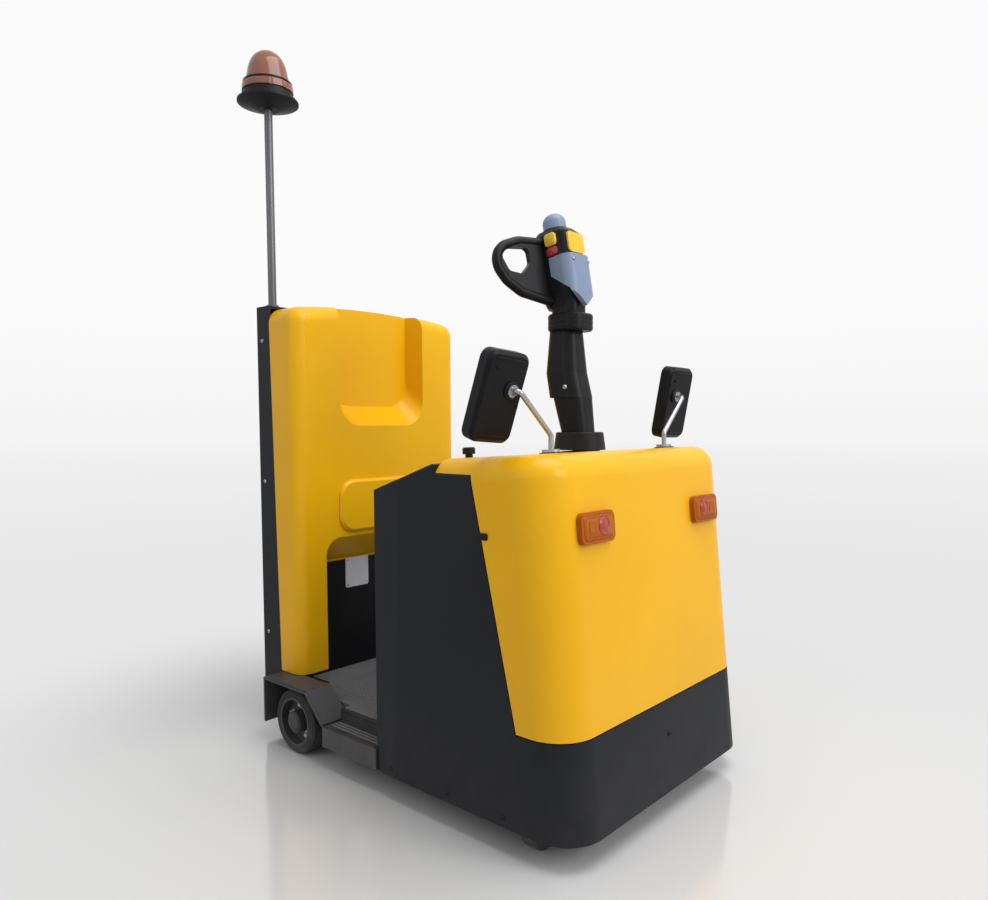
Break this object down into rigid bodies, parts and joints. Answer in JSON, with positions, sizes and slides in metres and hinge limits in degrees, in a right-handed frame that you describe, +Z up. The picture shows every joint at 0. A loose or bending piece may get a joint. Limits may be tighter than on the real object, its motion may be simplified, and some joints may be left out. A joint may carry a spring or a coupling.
{
  "type": "stand-on airport tow tractor",
  "caption": "Stand-on electric tow tractor with tiller steering, tall scooped backrest, rear tow coupling, pole beacon and rear-view mirrors.",
  "frame": {"origin": "on the floor, under the middle of the whole machine's box", "axes": "+X forward from the coupling to the bumper, +Y to the operator's left, +Z up"},
  "size_m": [1.32, 0.8868, 2.02],
  "materials": {
    "yellow_paint": "gloss",
    "charcoal_paint": "satin",
    "chassis_paint": "satin",
    "dark_plastic": "fine grain",
    "mat_rubber": "ribbed",
    "bright_steel": "brushed",
    "pole_steel": "satin",
    "tyre_compound": "satin",
    "rim_paint": "satin",
    "battery_case": "matt",
    "motor_paint": "cast",
    "plate_finish": "satin",
    "beacon_amber": "ribbed",
    "lamp_red": "prismatic",
    "lamp_case": "moulded",
    "mirror_glass": "polished",
    "grip_plastic": "soft touch",
    "cap_plastic": "satin",
    "switch_yellow": "satin",
    "button_red": "gloss",
    "coupling_iron": "cast"
  },
  "bodies": {
    "chassis": {"chassis_frame": "chassis_paint", "platform_mat": "mat_rubber", "battery_block": "battery_case", "front_bumper": "charcoal_paint", "hood": "yellow_paint", "side_panel_right": "charcoal_paint", "side_panel_left": "charcoal_paint", "console": "dark_plastic", "fender_right": "chassis_paint", "fender_left": "chassis_paint", "rear_axle": "bright_steel", "backrest_frame": "charcoal_paint", "backrest_cover": "yellow_paint", "arch_panel": "dark_plastic", "blank_plate": "plate_finish", "tow_jaw": "coupling_iron", "beacon_pole": "pole_steel", "beacon_base": "dark_plastic", "beacon_dome": "beacon_amber", "lamp_bezels": "lamp_case", "lamp_lenses": "lamp_red", "mirror_housings": "grip_plastic", "mirror_glasses": "mirror_glass", "mirror_arms": "bright_steel", "deck_knob": "dark_plastic"},
    "steering_unit": {"drive_gearbox": "motor_paint", "drive_motor": "motor_paint", "steering_shaft": "bright_steel", "tiller_collar": "dark_plastic", "tiller_column": "grip_plastic", "tiller_ring": "grip_plastic", "tiller_head": "grip_plastic", "tiller_dome": "cap_plastic", "tiller_cap": "cap_plastic", "tiller_plaque": "switch_yellow", "thumb_switches": "grip_plastic", "side_buttons": "button_red", "reverse_button": "button_red"},
    "drive_wheel": {"drive_tyre": "tyre_compound", "drive_rim": "rim_paint"},
    "tow_pin_body": {"tow_pin": "bright_steel"},
    "rear_wheel_right": {"rear_tyre_right": "tyre_compound", "rear_rim_right": "rim_paint"},
    "castor_right": {"castor_fork_right": "bright_steel"},
    "castor_wheel_right": {"castor_tyre_right": "tyre_compound", "castor_rim_right": "rim_paint"},
    "rear_wheel_left": {"rear_tyre_left": "tyre_compound", "rear_rim_left": "rim_paint"},
    "castor_left": {"castor_fork_left": "bright_steel"},
    "castor_wheel_left": {"castor_tyre_left": "tyre_compound", "castor_rim_left": "rim_paint"}
  },
  "joints": [
    {"name": "steering", "type": "hinge", "parent": "chassis", "child": "steering_unit", "pos_m": [0.384, 0, 0.25], "axis": [0, 0, 1], "range_deg": [-85, 85]},
    {"name": "drive_wheel_spin", "type": "hinge", "parent": "steering_unit", "child": "drive_wheel", "pos_m": [0.384, 0, 0.115], "axis": [0, 1, 0], "continuous": true},
    {"name": "tow_pin_lift", "type": "slide", "parent": "chassis", "child": "tow_pin_body", "axis": [0, 0, 1], "range_m": [0, 0.08]},
    {"name": "castor_swivel_right", "type": "hinge", "parent": "chassis", "child": "castor_right", "pos_m": [0.515, -0.296, 0.15], "axis": [0, 0, 1], "continuous": true},
    {"name": "castor_spin_right", "type": "hinge", "parent": "castor_right", "child": "castor_wheel_right", "pos_m": [0.515, -0.318, 0.06], "axis": [-1, 0, 0], "continuous": true},
    {"name": "rear_wheel_spin_right", "type": "hinge", "parent": "chassis", "child": "rear_wheel_right", "pos_m": [-0.32, -0.3575, 0.09], "axis": [0, 1, 0], "continuous": true},
    {"name": "castor_swivel_left", "type": "hinge", "parent": "chassis", "child": "castor_left", "pos_m": [0.515, 0.296, 0.15], "axis": [0, 0, 1], "continuous": true},
    {"name": "castor_spin_left", "type": "hinge", "parent": "castor_left", "child": "castor_wheel_left", "pos_m": [0.515, 0.274, 0.06], "axis": [-1, 0, 0], "continuous": true},
    {"name": "rear_wheel_spin_left", "type": "hinge", "parent": "chassis", "child": "rear_wheel_left", "pos_m": [-0.32, 0.3575, 0.09], "axis": [0, 1, 0], "continuous": true}
  ]
}
